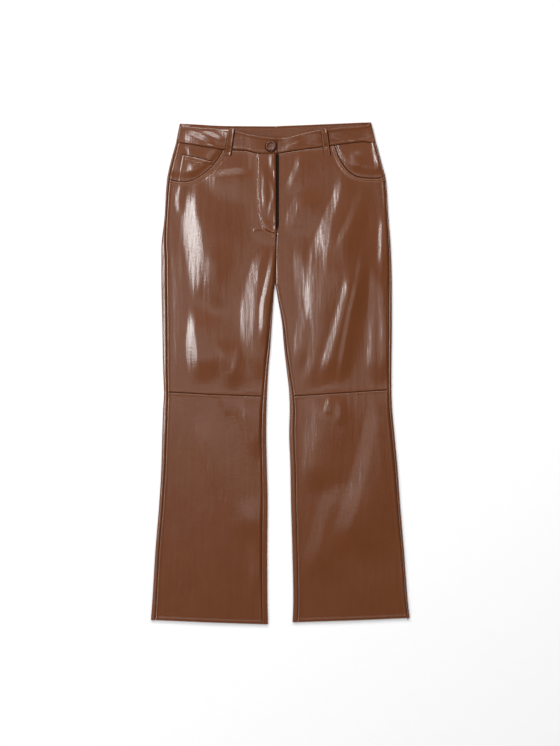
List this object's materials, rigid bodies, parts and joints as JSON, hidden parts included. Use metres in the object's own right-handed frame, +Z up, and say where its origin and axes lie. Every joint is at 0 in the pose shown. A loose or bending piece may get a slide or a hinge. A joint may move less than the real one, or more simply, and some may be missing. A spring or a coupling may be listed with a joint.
{
  "type": "flared trousers",
  "caption": "Flared faux-leather trousers, fastened and laid flat, with curved front pockets, a coin pocket, belt loops, a buttoned waistband and seams across the knees.",
  "frame": {"origin": "centre of the bounding box, on the surface that the garment lies on", "axes": "+Z up out of the front of the trousers, +Y from the hems to the waist, +X to the wearer's left"},
  "size_m": [0.5056, 0.98, 0.0137],
  "materials": {
    "coated_cloth": "soft, semi-glossy coated cloth",
    "button": "glossy, moulded, with a raised rim",
    "zip_tape": "matte woven tape with a coil"
  },
  "bodies": {
    "root": {"back_lower_left": "coated_cloth", "back_lower_right": "coated_cloth", "back_thigh_left": "coated_cloth", "back_thigh_right": "coated_cloth", "belt_loop_back_centre": "coated_cloth", "belt_loop_back_left": "coated_cloth", "belt_loop_back_right": "coated_cloth", "belt_loop_front_left": "coated_cloth", "belt_loop_front_right": "coated_cloth", "button": "button", "coin_pocket": "coated_cloth", "fly_zip": "zip_tape", "front_lower_left": "coated_cloth", "front_lower_right": "coated_cloth", "front_thigh_left": "coated_cloth", "front_thigh_right": "coated_cloth", "pocket_facing_left": "coated_cloth", "pocket_facing_right": "coated_cloth", "waistband_left": "coated_cloth", "waistband_right": "coated_cloth"}
  },
  "joints": []
}
